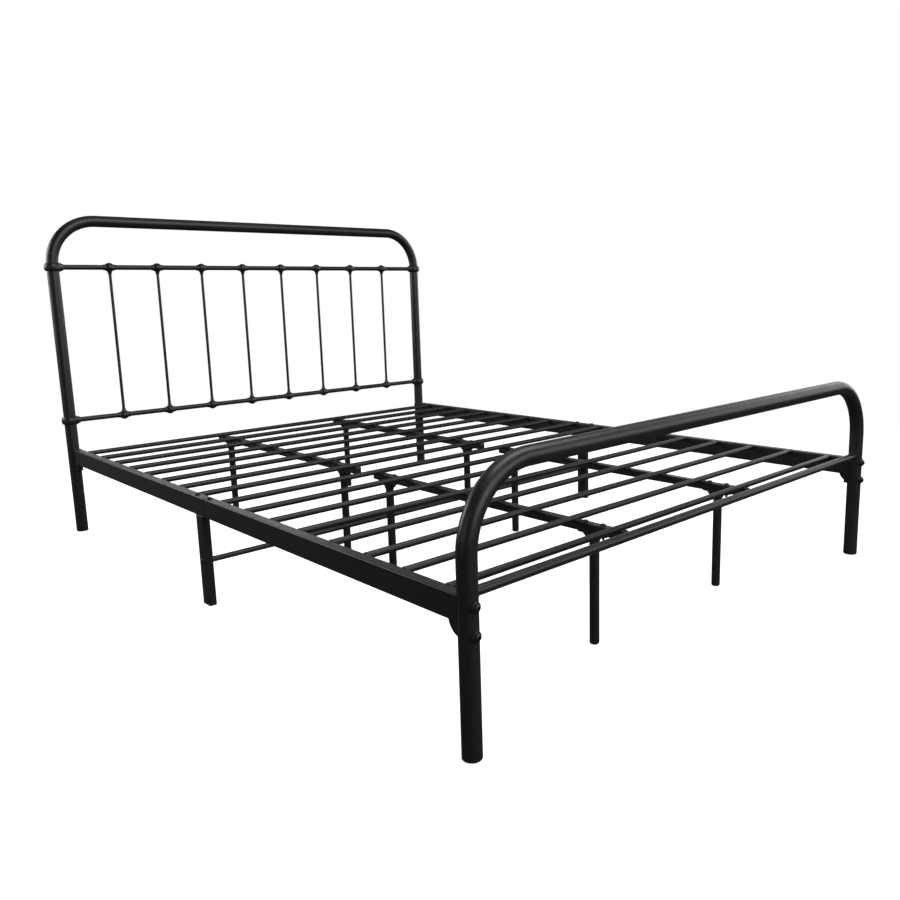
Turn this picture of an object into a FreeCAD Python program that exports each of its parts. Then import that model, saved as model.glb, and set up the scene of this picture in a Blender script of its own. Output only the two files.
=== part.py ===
import FreeCAD, Part
import math
import os
import Sketcher

# A queen-size metal bed frame that packs flat.  Millimetres, +Z up, standing on Z = 0,
# headboard at +Y, footboard at -Y, the left side rail at -X.

V = FreeCAD.Vector
doc = FreeCAD.newDocument("bed_frame")

SIZES = (
    ("post_x", 770, "post axis from the middle, across the bed"),
    ("post_y", 1035, "post axis from the middle, along the bed"),
    ("hoop_od", 38, "outside diameter of both bent end tubes"),
    ("hoop_wall", 1, "wall of both bent end tubes"),
    ("bend", 150, "bend radius of the end tubes on the axis"),
    ("head_top", 1075, "height of the headboard top tube axis"),
    ("foot_top", 515, "height of the footboard top tube axis"),
    ("cap_rim", 4, "part of a foot cap left showing below its tube"),
    ("bar_od", 17, "diameter of the two headboard rails"),
    ("bar_wall", 1.2, "wall of the headboard rails"),
    ("bar_high", 919, "height of the upper headboard rail"),
    ("bar_low", 396, "height of the lower headboard rail"),
    ("spindle_od", 10, "diameter of a spindle"),
    ("spindle_wall", 1, "wall of a spindle"),
    ("spindle_pitch", 167.6, "from one spindle to the next"),
    ("ball_od", 33, "diameter of a cast knuckle"),
    ("neck_od", 21, "diameter of the knuckle neck on the rail"),
    ("neck_reach", 21, "from knuckle centre to the end of a rail neck"),
    ("stem_od", 14, "diameter of the knuckle neck on the spindle"),
    ("stem_reach", 24, "from rail axis to the end of the spindle neck"),
    ("collar_od", 54, "largest diameter of a cast post collar"),
    ("collar_lip", 44, "diameter of a post collar at its two ends"),
    ("collar_tall", 30, "height of a post collar"),
    ("flare_root", 28, "diameter of the collar flare where it leaves the collar"),
    ("flare_tip", 20, "diameter of the collar flare at its tip"),
    ("flare_reach", 34, "from post axis to the tip of the collar flare"),
    ("cross_od", 19, "diameter of the footboard crossbar"),
    ("cross_wall", 1.2, "wall of the footboard crossbar"),
    ("cross_high", 301, "height of the footboard crossbar axis"),
    ("rail_out", 776, "outer face of a side rail from the middle"),
    ("rail_wide", 25, "width of a side rail"),
    ("rail_deep", 50, "depth of a side rail"),
    ("rail_top", 295, "top face of a side rail"),
    ("rail_wall", 1.2, "wall of a side rail"),
    ("seam_y", -27, "where the head half of a side rail ends"),
    ("seam_gap", 1, "gap between the two halves of a side rail"),
    ("plate_thick", 4, "thickness of a rail end saddle between the rail and the post"),
    ("saddle_wrap", 14, "depth of a rail end saddle around the post"),
    ("saddle_wide", 23, "width of a rail end saddle"),
    ("plate_low", 219, "bottom of a rail end saddle"),
    ("web_long", 24, "length of the web under the rail end"),
    ("web_thick", 3, "thickness of the web under the rail end"),
    ("sleeve_back", 93, "sleeve length on the foot side of the seam"),
    ("sleeve_front", 107, "sleeve length on the head side of the seam"),
    ("sleeve_wall", 1.5, "wall of the sleeve inside the side rail joint"),
    ("slat_od", 15, "diameter of a slat tube"),
    ("slat_wall", 0.8, "wall of a slat tube"),
    ("slat_high", 289.5, "height of the slat axes"),
    ("slat_first", 52, "first slat on the head side of the middle"),
    ("slat_last", -961, "last slat on the foot side"),
    ("slat_pitch", 126, "from one slat to the next"),
    ("plug_od", 16, "diameter of a slat plug collar"),
    ("plug_lip", 2, "thickness of a slat plug collar"),
    ("plug_reach", 16, "length of a slat plug inside its tube"),
    ("spigot_od", 8, "diameter of the slat plug spigot in the rail wall"),
    ("mid_wide", 20, "width of a middle leg across the bed"),
    ("mid_long", 40, "width of a middle leg along the bed"),
    ("mid_y", 10, "centre of the middle legs along the bed"),
    ("mid_wall", 1.2, "wall of a middle leg"),
    ("cap_plug", 14, "length of a foot cap inside its tube"),
    ("stretcher_od", 15, "diameter of the stretcher bar between the middle legs"),
    ("stretcher_high", 120, "height of the stretcher bar"),
    ("keel_x", 258, "centre rails from the middle"),
    ("keel_wide", 20, "width of a centre rail"),
    ("keel_deep", 21, "depth of a centre rail"),
    ("keel_top", 285, "top face of a centre rail"),
    ("keel_wall", 1.2, "wall of a centre rail"),
    ("keel_head_from", 36, "near end of the head centre rails"),
    ("keel_head_to", 970, "far end of the head centre rails"),
    ("keel_foot_from", -55, "near end of the foot centre rails"),
    ("keel_foot_to", -975, "far end of the foot centre rails"),
    ("leg_od", 23, "diameter of a centre leg"),
    ("leg_wall", 1.2, "wall of a centre leg"),
    ("leg_near", 120, "near centre legs from the middle, along the bed"),
    ("leg_far", 888, "far centre legs from the middle, along the bed"),
    ("leg_cap", 7, "part of a centre leg cap left showing"),
    ("flange_long", 84, "length of the flange on a centre leg"),
    ("flange_thick", 2.5, "thickness of the flange on a centre leg"),
    ("gusset_top", 26, "reach of a leg cheek under the flange, from the leg axis"),
    ("gusset_tall", 22, "height of a leg cheek"),
    ("gusset_thick", 2, "thickness of a leg cheek"),
    ("cheek_root", 6, "where a leg cheek starts, from the leg axis"),
    ("cheek_bend", 30, "radius of the hollow edge of a leg cheek"),
    ("leg_bolt", 25, "leg bolts from the leg axis"),
    ("small_bolt", 6, "shank diameter of the small bolts"),
    ("small_head", 14, "head diameter of the small bolts"),
    ("small_tall", 4.5, "head height of the small bolts"),
    ("small_long", 33, "shank length of the small bolts"),
    ("small_hole", 6.4, "clearance hole for the small bolts"),
    ("small_key", 4, "hexagon key across flats of the small bolts"),
    ("joint_y", 36, "side rail joint bolts from the middle"),
    ("nut_flats", 10, "leg nut across flats"),
    ("nut_tall", 5, "height of a leg nut"),
    ("post_bolt", 8, "shank diameter of the post bolts"),
    ("post_head", 14, "head diameter of the post bolts"),
    ("post_tall", 5, "head height of the post bolts"),
    ("post_long", 49, "shank length of the post bolts"),
    ("post_hole", 8.4, "clearance hole for the post bolts"),
    ("post_key", 5, "hexagon key across flats of the post bolts"),
    ("bolt_low", 230, "height of the lower post bolt"),
    ("bolt_rise", 52, "from the lower to the upper post bolt"),
    ("saddle_od", 21, "diameter of a saddle washer"),
    ("saddle_thick", 3, "thickness of a saddle washer at its middle"),
)

sheet = doc.addObject("Spreadsheet::Sheet", "sizes")


class Size:
    """A length that carries both its number and the sheet expression behind it."""

    def __init__(self, text, value):
        self.text = text
        self.value = float(value)

    def __add__(self, other):
        other = size_of(other)
        return Size(f"({self.text} + {other.text})", self.value + other.value)

    def __sub__(self, other):
        other = size_of(other)
        return Size(f"({self.text} - {other.text})", self.value - other.value)

    def __mul__(self, number):
        return Size(f"({self.text} * {number})", self.value * number)

    def __truediv__(self, number):
        return Size(f"({self.text} / {number})", self.value / number)

    def __neg__(self):
        return self * -1


def size_of(value):
    if isinstance(value, Size):
        return value
    return Size(str(value), value)


class Sheet:
    """The spreadsheet cells, one attribute per alias."""


s = Sheet()
for row, (alias, value, note) in enumerate(SIZES, start=1):
    sheet.set(f"A{row}", alias)
    sheet.set(f"B{row}", str(value))
    sheet.set(f"C{row}", note)
    sheet.setAlias(f"B{row}", alias)
    setattr(s, alias, Size(f"sizes.{alias}", value))
doc.recompute()

SUB_PARTS = []


# ------------------------------------------------------------------ drawing helpers

def bind(item, path, value):
    item.setExpression(path, size_of(value).text)


def new_body(label, node=True):
    body = doc.addObject("PartDesign::Body", label)
    body.Label = label
    body.AllowCompound = True
    if node:
        SUB_PARTS.append(body)
    return body


def place(body, x=0, y=0, z=0, turn=None):
    """Puts a sub-part in the bed; turn is (axis, degrees)."""
    if turn:
        axis, degrees = turn
        body.Placement = FreeCAD.Placement(V(), FreeCAD.Rotation(V(*axis), degrees))
    for path, value in (("x", x), ("y", y), ("z", z)):
        bind(body, f"Placement.Base.{path}", value)


def origin(body, role):
    return [item for item in body.Origin.OriginFeatures if item.Role == role][0]


def sketch(body, role, x=0, y=0, z=0):
    """A sketch on one of the body's own planes, its origin moved to x, y, z."""
    drawing = body.newObject("Sketcher::SketchObject", body.Label + "_sketch")
    drawing.AttachmentSupport = [(origin(body, role), "")]
    drawing.MapMode = "FlatFace"
    across = {"XY_Plane": (x, y, z), "XZ_Plane": (x, z, -size_of(y)), "YZ_Plane": (y, z, x)}
    for path, value in zip("xyz", across[role]):
        bind(drawing, f"AttachmentOffset.Base.{path}", value)
    return drawing


def pin(drawing, geometry, point, x, y):
    """Holds one point of the sketch at x, y."""
    for kind, value, axis in (("DistanceX", x, -2), ("DistanceY", y, -1)):
        value = size_of(value)
        if value.value == 0:
            drawing.addConstraint(Sketcher.Constraint("PointOnObject", geometry, point, axis))
        else:
            number = drawing.addConstraint(Sketcher.Constraint(kind, geometry, point, value.value))
            bind(drawing, f"Constraints[{number}]", value)


def circle(drawing, diameter, x=0, y=0):
    diameter = size_of(diameter)
    centre = V(size_of(x).value, size_of(y).value, 0)
    number = drawing.addGeometry(Part.Circle(centre, V(0, 0, 1), diameter.value / 2))
    pin(drawing, number, 3, x, y)
    limit = drawing.addConstraint(Sketcher.Constraint("Diameter", number, diameter.value))
    bind(drawing, f"Constraints[{limit}]", diameter)


def arc_between(start, end, radius, turn):
    """The short arc from start to end; turn is 1 when it runs counter-clockwise."""
    middle = (start + end) * 0.5
    chord = end - start
    rise = math.sqrt(max(radius ** 2 - chord.Length ** 2 / 4, 0))
    left = V(-chord.y, chord.x, 0).normalize()
    centre = middle + left * rise * turn
    ends = [math.atan2(p.y - centre.y, p.x - centre.x) for p in (start, end)]
    first, last = ends if turn > 0 else ends[::-1]
    if last < first:
        last += 2 * math.pi
    return Part.ArcOfCircle(Part.Circle(centre, V(0, 0, 1), radius), first, last)


def trace(drawing, corners, arcs=None, closed=True):
    """Lines through the corners; arcs maps a side's number to (radius, turn)."""
    arcs = arcs or {}
    points = [V(size_of(x).value, size_of(y).value, 0) for x, y in corners]
    count = len(corners) if closed else len(corners) - 1
    sides = []
    for side in range(count):
        start, end = points[side], points[(side + 1) % len(points)]
        if side in arcs:
            radius, turn = arcs[side]
            radius = size_of(radius)
            number = drawing.addGeometry(arc_between(start, end, radius.value, turn))
            limit = drawing.addConstraint(Sketcher.Constraint("Radius", number, radius.value))
            bind(drawing, f"Constraints[{limit}]", radius)
            sides.append((number, 1, 2) if turn > 0 else (number, 2, 1))
        else:
            sides.append((drawing.addGeometry(Part.LineSegment(start, end)), 1, 2))
    for side, (number, first, last) in enumerate(sides):
        pin(drawing, number, first, *corners[side])
        if closed or side + 1 < count:
            follower = sides[(side + 1) % count]
            drawing.addConstraint(
                Sketcher.Constraint("Coincident", number, last, follower[0], follower[1]))
    if not closed:
        pin(drawing, sides[-1][0], sides[-1][2], *corners[-1])


def box_outline(drawing, wide, tall, x=0, y=0):
    wide, tall, x, y = (size_of(value) for value in (wide, tall, x, y))
    low_x, high_x = x - wide / 2, x + wide / 2
    low_y, high_y = y - tall / 2, y + tall / 2
    trace(drawing, ((low_x, low_y), (high_x, low_y), (high_x, high_y), (low_x, high_y)))


def hexagon(drawing, flats):
    """A regular hexagon about the sketch origin, flats being its width across flats."""
    flats = size_of(flats)
    half = flats / 2
    corner = flats / math.sqrt(3)
    trace(drawing, ((corner, 0), (corner / 2, half), (corner / -2, half),
                    (-corner, 0), (corner / -2, -half), (corner / 2, -half)))


# ------------------------------------------------------------------ feature helpers

def feature(body, kind, drawing):
    item = body.newObject("PartDesign::" + kind, body.Label + "_" + kind.lower())
    item.Profile = drawing
    drawing.Visibility = False
    return item


def pad(body, drawing, length, back=False, middle=False):
    item = feature(body, "Pad", drawing)
    bind(item, "Length", length)
    item.Reversed = back
    if middle:
        item.SideType = "Symmetric"
    return item


def pocket(body, drawing, depth=None, back=False):
    """Cuts the drawing away; with no depth it cuts through everything both ways."""
    item = feature(body, "Pocket", drawing)
    if depth is None:
        item.SideType = "Symmetric"
        item.Type = "ThroughAll"
    else:
        bind(item, "Length", depth)
    item.Reversed = back
    return item


def turn_round(body, drawing, axis):
    item = feature(body, "Revolution", drawing)
    item.ReferenceAxis = (drawing, [axis])
    item.Angle = 360
    return item


def finish_feature(body, item):
    body.Tip = item
    doc.recompute()
    return item


def repeat(body, direction, spacing, count, originals=None):
    """A row along one of the body's axes, of the whole shape or only of some features."""
    item = body.newObject("PartDesign::LinearPattern", body.Label + "_row")
    if originals:
        item.TransformMode = "Features"
        item.Originals = originals
    else:
        item.TransformMode = "Whole shape"
    item.Direction = (origin(body, direction), [""])
    item.Mode = "Spacing"
    bind(item, "Offset", spacing)
    item.Occurrences = count
    return finish_feature(body, item)


def mirror(body, role):
    item = body.newObject("PartDesign::Mirrored", body.Label + "_mirror")
    item.TransformMode = "Whole shape"
    item.MirrorPlane = (origin(body, role), [""])
    return finish_feature(body, item)


# ------------------------------------------------------------------ sub-part makers

def round_tube(label, diameter, wall, length, x, y, z, turn=None):
    """A straight tube along its own Z, wall None for a solid bar."""
    body = new_body(label)
    ring = sketch(body, "XY_Plane")
    circle(ring, diameter)
    if wall is not None:
        circle(ring, diameter - wall * 2)
    finish_feature(body, pad(body, ring, length))
    place(body, x, y, z, turn)
    return body


def box_tube(label, wide, tall, wall, length, x, y, z):
    """A box tube running from y towards the foot end, centred on x and z."""
    body = new_body(label)
    ring = sketch(body, "XZ_Plane")
    box_outline(ring, wide, tall)
    box_outline(ring, wide - wall * 2, tall - wall * 2)
    finish_feature(body, pad(body, ring, length))
    place(body, x, y, z)
    return body


def end_hoop(label, top, y):
    """A bent end tube: two posts and a top in one piece, with the post bolt holes."""
    body = new_body(label)
    ring = sketch(body, "XY_Plane", x=-s.post_x)
    circle(ring, s.hoop_od)
    circle(ring, s.hoop_od - s.hoop_wall * 2)
    path = sketch(body, "XZ_Plane")
    rise = top - s.cap_rim
    trace(path, ((-s.post_x, 0), (-s.post_x, rise - s.bend), (s.bend - s.post_x, rise),
                 (s.post_x - s.bend, rise), (s.post_x, rise - s.bend), (s.post_x, 0)),
          arcs={1: (s.bend, -1), 3: (s.bend, -1)}, closed=False)
    pipe = feature(body, "AdditivePipe", ring)
    pipe.Spine = (path, [])
    path.Visibility = False
    finish_feature(body, pipe)
    holes = sketch(body, "XZ_Plane")
    for x in (-s.post_x, s.post_x):
        for high in (s.bolt_low, s.bolt_low + s.bolt_rise):
            circle(holes, s.post_hole, x, high - s.cap_rim)
    finish_feature(body, pocket(body, holes))
    place(body, 0, y, s.cap_rim)
    return body


def spindle_knuckles():
    """Ball knuckles on the lower headboard rail, mirrored up to the upper rail."""
    body = new_body("spindle_knuckles")
    half = (s.bar_high - s.bar_low) / 2
    first = s.spindle_pitch * -3.5
    ball = sketch(body, "XZ_Plane", x=first, z=-half)
    radius = s.ball_od / 2
    trace(ball, ((0, -radius), (radius, 0), (0, radius)), arcs={0: (radius, 1), 1: (radius, 1)})
    turn_round(body, ball, "V_Axis")
    neck = sketch(body, "XZ_Plane", x=first, z=-half)
    wide, slim = s.neck_od / 2, s.neck_od / 2 - 1.2
    reach = s.neck_reach
    trace(neck, ((-reach, 0), (reach, 0), (reach, slim), (reach - 1.2, wide),
                 (-reach + 1.2, wide), (-reach, slim)))
    turn_round(body, neck, "H_Axis")
    stem = sketch(body, "XZ_Plane", x=first, z=-half)
    wide = s.stem_od / 2
    trace(stem, ((0, 0), (wide, 0), (wide, s.stem_reach - 1), (wide - 1, s.stem_reach),
                 (0, s.stem_reach)))
    finish_feature(body, turn_round(body, stem, "V_Axis"))
    rail = sketch(body, "YZ_Plane", x=first, z=-half)
    circle(rail, s.bar_od)
    finish_feature(body, pocket(body, rail))
    socket = sketch(body, "XY_Plane", x=first, z=-half)
    circle(socket, s.spindle_od)
    finish_feature(body, pocket(body, socket, s.stem_reach * 2, back=True))
    repeat(body, "X_Axis", s.spindle_pitch, 8)
    mirror(body, "XY_Plane")
    place(body, 0, s.post_y, (s.bar_high + s.bar_low) / 2)


def post_collars():
    """Cast collars round the headboard posts, each flaring on to its rail."""
    body = new_body("post_collars")
    bulge = s.collar_od / 2 - s.collar_lip / 2
    half = s.collar_tall / 2
    radius = Size(f"(({half.text})^2 + ({bulge.text})^2) / (2 * {bulge.text})",
                  (half.value ** 2 + bulge.value ** 2) / (2 * bulge.value))
    ring = sketch(body, "XZ_Plane", x=-s.post_x)
    trace(ring, ((0, -half), (s.collar_lip / 2, -half), (s.collar_lip / 2, half), (0, half)),
          arcs={1: (radius, 1)})
    turn_round(body, ring, "V_Axis")
    flare = sketch(body, "XZ_Plane", x=-s.post_x)
    trace(flare, ((0, 0), (s.flare_reach, 0), (s.flare_reach, s.flare_tip / 2),
                  (s.collar_od / 2 - 2, s.flare_root / 2), (0, s.flare_root / 2)))
    finish_feature(body, turn_round(body, flare, "H_Axis"))
    bore = sketch(body, "XY_Plane", x=-s.post_x)
    circle(bore, s.hoop_od)
    finish_feature(body, pocket(body, bore))
    rail = sketch(body, "YZ_Plane", x=-s.post_x)
    circle(rail, s.bar_od)
    finish_feature(body, pocket(body, rail, s.flare_reach + 2, back=True))
    mirror(body, "YZ_Plane")
    repeat(body, "Z_Axis", s.bar_high - s.bar_low, 2)
    place(body, 0, s.post_y, s.bar_low)


def side_rail(label, side, y, length, first_slat, joint_y):
    """Half a side rail, its slat holes in the inner wall and one joint bolt hole."""
    x = s.rail_out - s.rail_wide / 2
    middle = s.rail_top - s.rail_deep / 2
    body = box_tube(label, s.rail_wide, s.rail_deep, s.rail_wall, length, x * side, y, middle)
    hole = sketch(body, "YZ_Plane", y=first_slat - y, z=s.slat_high - middle)
    circle(hole, s.spigot_od)
    cut = pocket(body, hole, s.rail_wide, back=side < 0)
    finish_feature(body, cut)
    repeat(body, "Y_Axis", s.slat_pitch, 8, [cut])
    top = sketch(body, "XY_Plane", y=joint_y - y)
    circle(top, s.small_hole)
    finish_feature(body, pocket(body, top, s.rail_deep, back=True))


def rail_end_brackets():
    """A saddle on each rail end, hollowed to the post, with a curved web under the rail."""
    body = new_body("rail_end_brackets")
    middle_x = s.rail_wide / 2 - s.rail_out
    middle_z = (s.rail_top + s.plate_low) / 2
    face = s.hoop_od / 2 - s.post_y
    inner = face + s.plate_thick
    block = sketch(body, "XZ_Plane", y=inner)
    box_outline(block, s.saddle_wide, s.rail_top - s.plate_low, middle_x, middle_z)
    pad(body, block, s.saddle_wrap)
    hollow = sketch(body, "XY_Plane")
    circle(hollow, s.hoop_od, -s.post_x, -s.post_y)
    finish_feature(body, pocket(body, hollow, back=True))
    web = sketch(body, "YZ_Plane", x=(s.rail_wide - s.saddle_wide) / 2 - s.rail_out)
    under = s.rail_top - s.rail_deep
    trace(web, ((inner, s.plate_low), (inner + s.web_long, under), (inner, under)),
          arcs={0: (s.web_long * 1.5, 1)})
    finish_feature(body, pad(body, web, s.web_thick))
    holes = sketch(body, "XZ_Plane", y=face)
    for high in (s.bolt_low, s.bolt_low + s.bolt_rise):
        circle(holes, s.post_bolt, -s.post_x, high)
    finish_feature(body, pocket(body, holes))
    mirror(body, "YZ_Plane")
    mirror(body, "XZ_Plane")


def joint_sleeves():
    """A box sleeve inside each side rail, bridging the joint between its halves."""
    body = new_body("mid_joint_sleeves")
    x = s.rail_wide / 2 - s.rail_out
    middle = s.rail_top - s.rail_deep / 2
    ring = sketch(body, "XZ_Plane", x=x, y=s.seam_y + s.sleeve_front, z=middle)
    wide, tall = s.rail_wide - s.rail_wall * 2, s.rail_deep - s.rail_wall * 2
    box_outline(ring, wide, tall)
    box_outline(ring, wide - s.sleeve_wall * 2, tall - s.sleeve_wall * 2)
    finish_feature(body, pad(body, ring, s.sleeve_front + s.sleeve_back))
    holes = sketch(body, "XY_Plane", x=x, z=middle)
    circle(holes, s.small_bolt, 0, s.joint_y)
    circle(holes, s.small_bolt, 0, -s.joint_y)
    finish_feature(body, pocket(body, holes, s.rail_deep, back=True))
    mirror(body, "YZ_Plane")


def mid_leg(label, side):
    """A box tube leg under the head half of a side rail, drilled for the stretcher bolt."""
    body = new_body(label)
    ring = sketch(body, "XY_Plane")
    box_outline(ring, s.mid_wide, s.mid_long)
    box_outline(ring, s.mid_wide - s.mid_wall * 2, s.mid_long - s.mid_wall * 2)
    finish_feature(body, pad(body, ring, s.rail_top - s.rail_deep - s.cap_rim))
    hole = sketch(body, "YZ_Plane", z=s.stretcher_high - s.cap_rim)
    circle(hole, s.small_hole)
    finish_feature(body, pocket(body, hole))
    place(body, (s.rail_out - s.mid_wide / 2) * side, s.mid_y, s.cap_rim)


def mid_stretcher():
    """A solid bar between the middle legs, drilled and tapped at both ends."""
    half = s.rail_out - s.mid_wide
    body = round_tube("mid_stretcher", s.stretcher_od, None, half * 2,
                      -half, s.mid_y, s.stretcher_high, ((0, 1, 0), 90))
    depth = s.small_long - s.mid_wide + 2
    for end, back in ((0, True), (half * 2, False)):
        tapping = sketch(body, "XY_Plane", z=end)
        circle(tapping, s.small_bolt)
        finish_feature(body, pocket(body, tapping, depth, back=back))


def centre_rail(label, side, near, far, first_slat, legs):
    """A centre rail segment, notched for the slats and drilled for the leg bolts."""
    start, length = (far, far - near) if far.value > near.value else (near, near - far)
    middle = s.keel_top - s.keel_deep / 2
    body = box_tube(label, s.keel_wide, s.keel_deep, s.keel_wall, length,
                    s.keel_x * side, start, middle)
    notch = sketch(body, "YZ_Plane", y=first_slat - start, z=s.slat_high - middle)
    circle(notch, s.slat_od)
    cut = pocket(body, notch)
    finish_feature(body, cut)
    repeat(body, "Y_Axis", s.slat_pitch, 8, [cut])
    holes = sketch(body, "XY_Plane")
    for leg in legs:
        for shift in (s.leg_bolt, -s.leg_bolt):
            circle(holes, s.small_hole, 0, leg + shift - start)
    finish_feature(body, pocket(body, holes))


def centre_leg(label, side, y):
    """A tube leg with a bolted flange on top, stiffened by two cheeks with hollow edges."""
    body = new_body(label)
    under = s.keel_top - s.keel_deep - s.flange_thick - s.leg_cap
    ring = sketch(body, "XY_Plane")
    circle(ring, s.leg_od)
    circle(ring, s.leg_od - s.leg_wall * 2)
    pad(body, ring, under)
    flange = sketch(body, "XY_Plane", z=under)
    box_outline(flange, s.keel_wide, s.flange_long)
    pad(body, flange, s.flange_thick)
    reach, skin = s.gusset_top, s.cheek_root
    for way in (1, -1):
        cheek = sketch(body, "YZ_Plane", x=s.keel_wide / 2 * way)
        for end in (1, -1):
            trace(cheek, ((skin * end, under), (skin * end, under - s.gusset_tall),
                          (reach * end, under)),
                  arcs={1: (s.cheek_bend, -end)})
        finish_feature(body, pad(body, cheek, s.gusset_thick, back=way > 0))
    holes = sketch(body, "XY_Plane", z=under)
    circle(holes, s.small_hole, 0, s.leg_bolt)
    circle(holes, s.small_hole, 0, -s.leg_bolt)
    finish_feature(body, pocket(body, holes))
    place(body, s.keel_x * side, y, s.leg_cap)


def slat_end_plugs():
    """Plugs in the slat ends: spigot in the rail wall, collar, peg in the tube."""
    body = new_body("slat_end_plugs")
    face = s.rail_out - s.rail_wide
    plug = sketch(body, "XZ_Plane", x=-face, y=s.slat_last)
    inside = s.slat_od / 2 - s.slat_wall
    collar, spigot = s.plug_od / 2, s.spigot_od / 2
    lip = s.plug_lip
    trace(plug, ((-s.rail_wall, 0), (lip + s.plug_reach, 0), (lip + s.plug_reach, inside),
                 (lip, inside), (lip, collar - 0.6), (lip - 0.6, collar), (0, collar),
                 (0, spigot), (-s.rail_wall, spigot)))
    finish_feature(body, turn_round(body, plug, "H_Axis"))
    repeat(body, "Y_Axis", s.slat_pitch, 8)
    repeat(body, "Y_Axis", s.slat_first - s.slat_last, 2)
    mirror(body, "YZ_Plane")
    place(body, 0, 0, s.slat_high)


def post_foot_caps():
    """Plastic caps in the four post ends, the rim rounded where it meets the floor."""
    body = new_body("post_foot_caps")
    cap = sketch(body, "XZ_Plane", x=-s.post_x, y=-s.post_y)
    rim, inside = s.hoop_od / 2, s.hoop_od / 2 - s.hoop_wall
    trace(cap, ((0, 0), (rim - 2, 0), (rim, 2), (rim, s.cap_rim), (inside, s.cap_rim),
                (inside, s.cap_rim + s.cap_plug), (0, s.cap_rim + s.cap_plug)),
          arcs={1: (2, 1)})
    finish_feature(body, turn_round(body, cap, "V_Axis"))
    mirror(body, "YZ_Plane")
    mirror(body, "XZ_Plane")


def centre_leg_caps():
    """Round-bottomed caps on the eight centre legs."""
    body = new_body("centre_leg_caps")
    cap = sketch(body, "XZ_Plane", x=-s.keel_x, y=-s.leg_far)
    rim, inside = s.leg_od / 2, s.leg_od / 2 - s.leg_wall
    soft = s.leg_cap - 2
    trace(cap, ((0, 0), (rim - soft, 0), (rim, soft), (rim, s.leg_cap), (inside, s.leg_cap),
                (inside, s.leg_cap + s.cap_plug), (0, s.leg_cap + s.cap_plug)),
          arcs={1: (soft, 1)})
    finish_feature(body, turn_round(body, cap, "V_Axis"))
    repeat(body, "Y_Axis", s.leg_far - s.leg_near, 2)
    mirror(body, "YZ_Plane")
    mirror(body, "XZ_Plane")


def mid_leg_caps():
    """Plastic caps in the two middle legs."""
    body = new_body("mid_leg_caps")
    x = s.mid_wide / 2 - s.rail_out
    rim = sketch(body, "XY_Plane", x=x, y=s.mid_y)
    box_outline(rim, s.mid_wide, s.mid_long)
    pad(body, rim, s.cap_rim)
    plug = sketch(body, "XY_Plane", x=x, y=s.mid_y, z=s.cap_rim)
    box_outline(plug, s.mid_wide - s.mid_wall * 2, s.mid_long - s.mid_wall * 2)
    finish_feature(body, pad(body, plug, s.cap_plug))
    mirror(body, "YZ_Plane")


def bolt_shape(body, head, tall, shank, long, x, y, z, flat=False):
    """One button-head bolt: head up along Z, or outwards along -Y when flat is set.

    The head rests on the point x, y, z and the shank runs the other way from it.
    """
    outline = sketch(body, "XY_Plane" if flat else "XZ_Plane", x=x, y=y, z=z)
    way = -1 if flat else 1
    radius = head / 2
    crown = head * 0.24
    steps = ((0, long * -1), (shank / 2, long * -1), (shank / 2, 0), (radius, 0),
             (radius, tall * 0.25), (crown, tall), (0, tall))
    steps = [(a, size_of(b) * way) for a, b in steps]
    trace(outline, steps, arcs={4: (head * 0.62, way)})
    return turn_round(body, outline, "V_Axis")


def key_socket(body, role, key, tall, x, y, z, back):
    """The hexagon socket in a bolt head, sunk from the crown at x, y, z."""
    socket = sketch(body, role, x=x, y=y, z=z)
    hexagon(socket, key)
    return pocket(body, socket, tall * 0.6, back=back)


def upright_bolts(label, x, y, z):
    """The first small bolt of a row, standing on z."""
    body = new_body(label, node=False)
    finish_feature(body, bolt_shape(body, s.small_head, s.small_tall, s.small_bolt,
                                    s.small_long, x, y, z))
    finish_feature(body, key_socket(body, "XY_Plane", s.small_key, s.small_tall,
                                    x, y, size_of(z) + s.small_tall, False))
    return body


def frame_bolts():
    """Every small bolt: centre legs, side rail joints and the stretcher ends."""
    legs = upright_bolts("leg_bolt_rows", -s.keel_x, -s.leg_far - s.leg_bolt, s.keel_top)
    repeat(legs, "Y_Axis", s.leg_bolt * 2, 2)
    repeat(legs, "Y_Axis", s.leg_far - s.leg_near, 2)
    mirror(legs, "YZ_Plane")
    mirror(legs, "XZ_Plane")
    joints = upright_bolts("joint_bolt_rows", s.rail_wide / 2 - s.rail_out, -s.joint_y,
                           s.rail_top)
    mirror(joints, "YZ_Plane")
    mirror(joints, "XZ_Plane")
    ends = []
    for label, side in (("left_stretcher_bolt", -1), ("right_stretcher_bolt", 1)):
        bolt = upright_bolts(label, 0, 0, 0)
        place(bolt, s.rail_out * side, s.mid_y, s.stretcher_high, ((0, 1, 0), 90 * side))
        ends.append(bolt)
    group = doc.addObject("Part::Compound", "frame_bolts")
    group.Label = "frame_bolts"
    group.Links = [legs, joints] + ends
    SUB_PARTS.append(group)


def leg_nuts():
    """Hexagon nuts under the centre leg flanges."""
    body = new_body("leg_nuts")
    under = s.keel_top - s.keel_deep - s.flange_thick
    nut = sketch(body, "XY_Plane", x=-s.keel_x, y=-s.leg_far - s.leg_bolt, z=under)
    hexagon(nut, s.nut_flats)
    circle(nut, s.small_bolt)
    finish_feature(body, pad(body, nut, s.nut_tall, back=True))
    repeat(body, "Y_Axis", s.leg_bolt * 2, 2)
    repeat(body, "Y_Axis", s.leg_far - s.leg_near, 2)
    mirror(body, "YZ_Plane")
    mirror(body, "XZ_Plane")


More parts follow.
